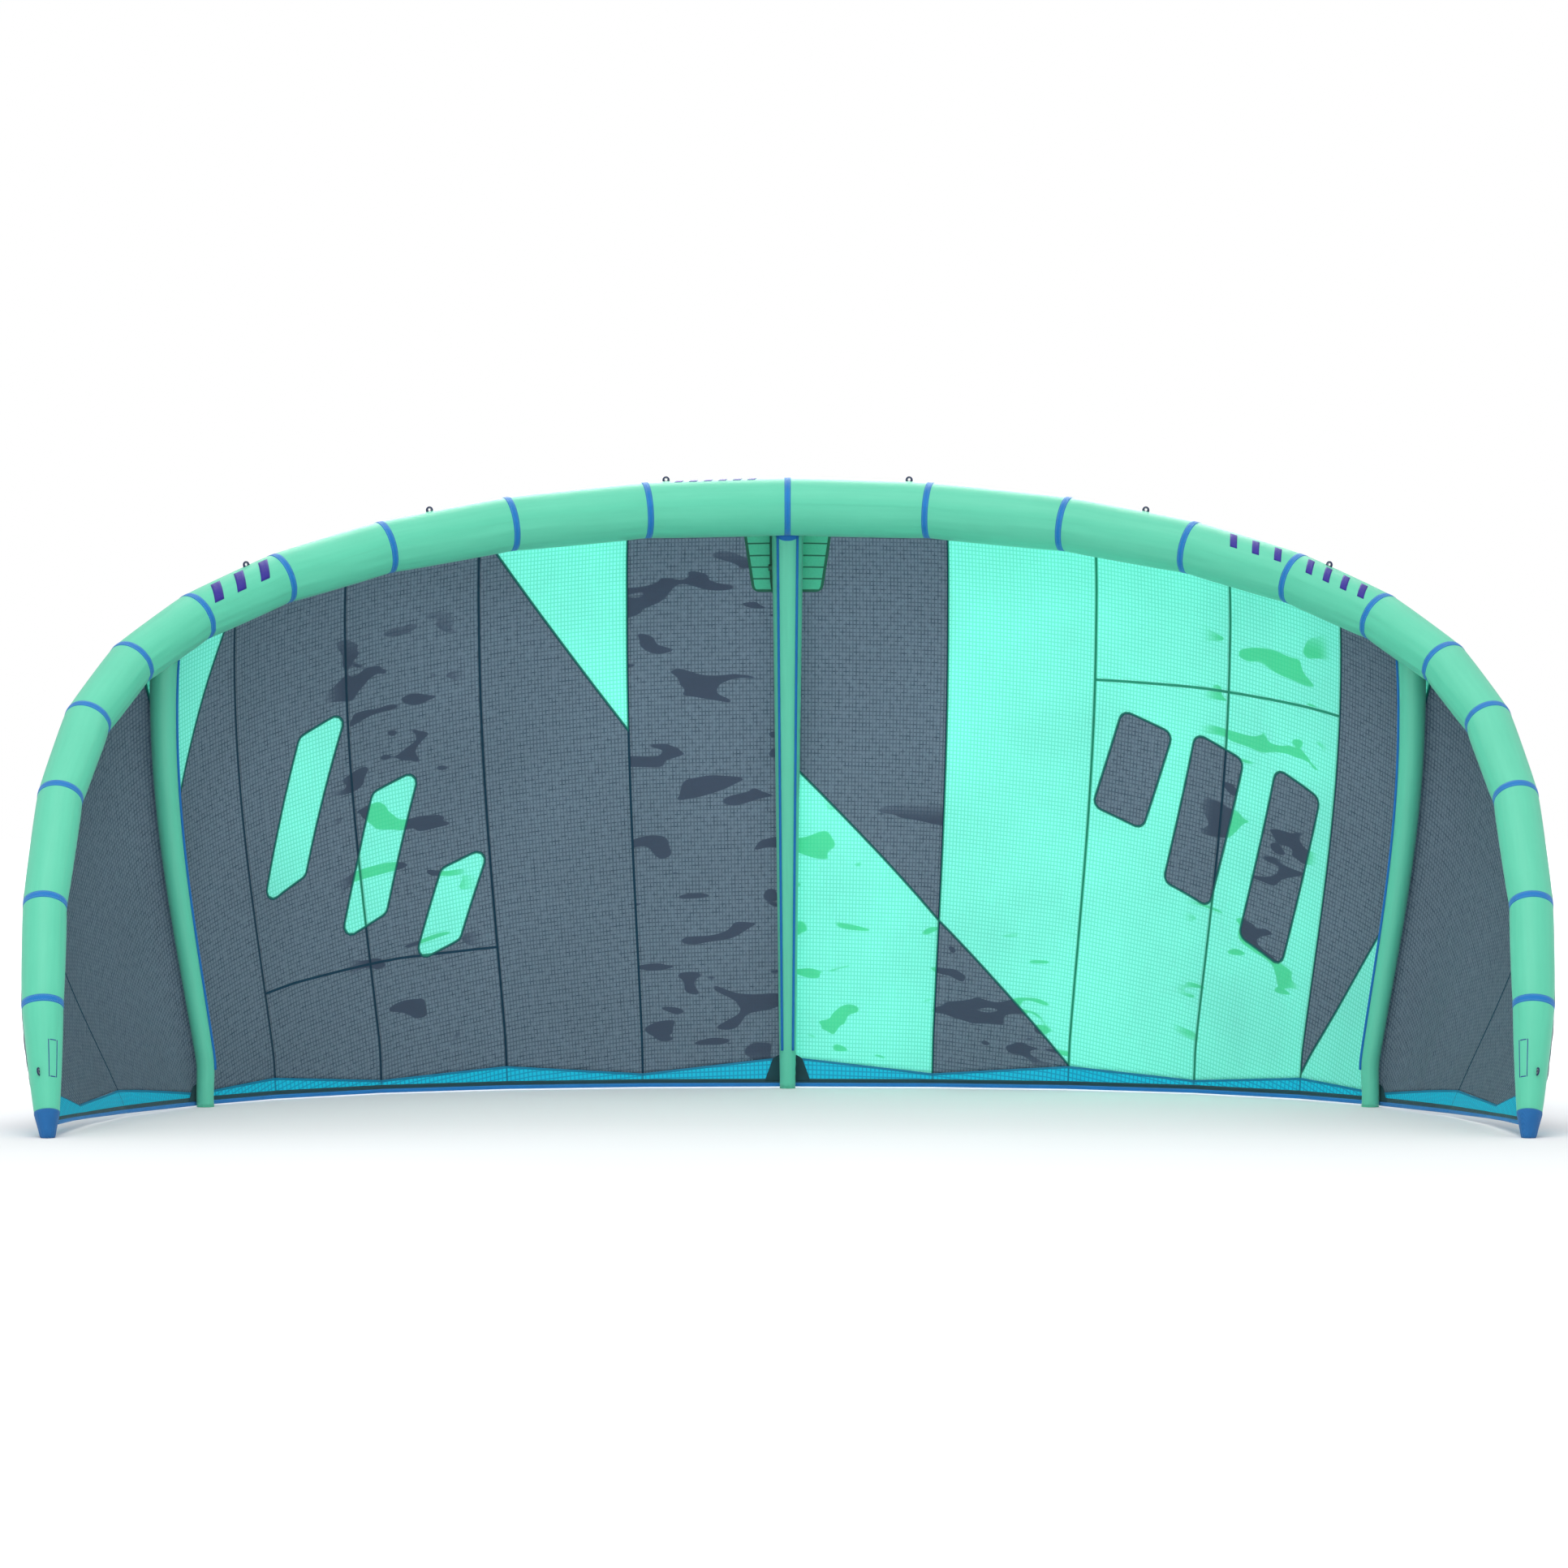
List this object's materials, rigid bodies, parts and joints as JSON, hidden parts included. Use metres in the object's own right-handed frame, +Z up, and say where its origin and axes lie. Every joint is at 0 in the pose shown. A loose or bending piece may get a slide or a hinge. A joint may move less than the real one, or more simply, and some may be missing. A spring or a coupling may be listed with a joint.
{
  "type": "kitesurf kite",
  "caption": "Kitesurf kite: arched inflatable leading edge, inflatable struts and a cambered ripstop canopy with a taped trailing edge.",
  "frame": {"origin": "on the ground under the middle of the kite, which stands on its tips and strut ends", "axes": "+X along the span to the right seen from the hollow side, +Z up from the trailing edge to the leading edge, +Y from the hollow side to the outer side of the arch"},
  "size_m": [4.158, 2.0828, 1.8787],
  "materials": {
    "tube_cloth": "woven polyester sailcloth, mint",
    "blue_tape": "woven polyester tape, blue",
    "bladder_film": "clear film",
    "mint_ripstop": "ripstop polyester, mint, translucent",
    "dark_ripstop": "ripstop polyester, slate, translucent",
    "cyan_ripstop": "ripstop polyester, cyan",
    "dark_tape": "woven tape, dark teal",
    "patch_cloth": "coated reinforcement cloth, mint",
    "webbing": "sewn webbing",
    "valve_plastic": "moulded, satin",
    "cap_plastic": "moulded, satin",
    "hose_rubber": "matte",
    "clip_plastic": "moulded, satin"
  },
  "bodies": {
    "root": {"le_panel_r01": "tube_cloth", "le_panel_r02": "tube_cloth", "le_panel_r03": "tube_cloth", "le_panel_r04": "tube_cloth", "le_panel_r05": "tube_cloth", "le_panel_r06": "tube_cloth", "le_panel_r07": "tube_cloth", "le_panel_r08": "tube_cloth", "le_panel_r09": "tube_cloth", "le_panel_r10": "tube_cloth", "le_panel_r11": "tube_cloth", "le_panel_l01": "tube_cloth", "le_panel_l02": "tube_cloth", "le_panel_l03": "tube_cloth", "le_panel_l04": "tube_cloth", "le_panel_l05": "tube_cloth", "le_panel_l06": "tube_cloth", "le_panel_l07": "tube_cloth", "le_panel_l08": "tube_cloth", "le_panel_l09": "tube_cloth", "le_panel_l10": "tube_cloth", "le_panel_l11": "tube_cloth", "le_seam_tapes": "blue_tape", "tip_cap_r": "blue_tape", "tip_cap_l": "blue_tape", "le_bladder": "bladder_film", "strut_sleeve_centre": "tube_cloth", "strut_sleeve_r": "tube_cloth", "strut_sleeve_l": "tube_cloth", "strut_bladders": "bladder_film", "strut_end_caps": "tube_cloth", "strut_piping": "blue_tape", "canopy_r1": "mint_ripstop", "canopy_r2": "mint_ripstop", "canopy_r3": "mint_ripstop", "canopy_r4": "mint_ripstop", "canopy_r5": "dark_ripstop", "canopy_r6": "dark_ripstop", "canopy_l1": "dark_ripstop", "canopy_l2": "dark_ripstop", "canopy_l3": "dark_ripstop", "canopy_l4": "dark_ripstop", "canopy_l5": "dark_ripstop", "canopy_l6": "dark_ripstop", "te_band_r": "cyan_ripstop", "te_band_l": "cyan_ripstop", "te_tape": "dark_tape", "te_hem": "blue_tape", "canopy_patches": "patch_cloth", "bridle_tabs": "webbing", "back_line_tabs": "webbing", "valve_base": "valve_plastic", "pump_hoses": "hose_rubber", "clip_bases": "clip_plastic"},
    "bayonet": {"valve_bayonet": "valve_plastic"},
    "cap": {"valve_cap": "cap_plastic"},
    "lever_centre": {"clip_lever_centre": "clip_plastic"},
    "lever_r": {"clip_lever_r": "clip_plastic"},
    "lever_l": {"clip_lever_l": "clip_plastic"}
  },
  "joints": [
    {"name": "bayonet_turn", "type": "hinge", "parent": "root", "child": "bayonet", "pos_m": [-0.15882, 0.91008, 1.84569], "axis": [-0.0757, 0.6969, 0.7131], "range_deg": [0, 90]},
    {"name": "cap_flip", "type": "hinge", "parent": "bayonet", "child": "cap", "pos_m": [-0.17713, 0.92117, 1.85892], "axis": [0.0767, -0.709, 0.701], "range_deg": [0, 120]},
    {"name": "clip_centre_open", "type": "hinge", "parent": "root", "child": "lever_centre", "pos_m": [-0.05744, 0.97842, 1.60614], "axis": [0, 0.1896, -0.9819], "range_deg": [0, 110]},
    {"name": "clip_r_open", "type": "hinge", "parent": "root", "child": "lever_r", "pos_m": [1.8068, 0.18796, 1.22763], "axis": [0.0317, 0.0671, -0.9972], "range_deg": [0, 110]},
    {"name": "clip_l_open", "type": "hinge", "parent": "root", "child": "lever_l", "pos_m": [-1.8068, 0.18796, 1.22763], "axis": [0.0317, -0.0671, 0.9972], "range_deg": [0, 110]}
  ]
}
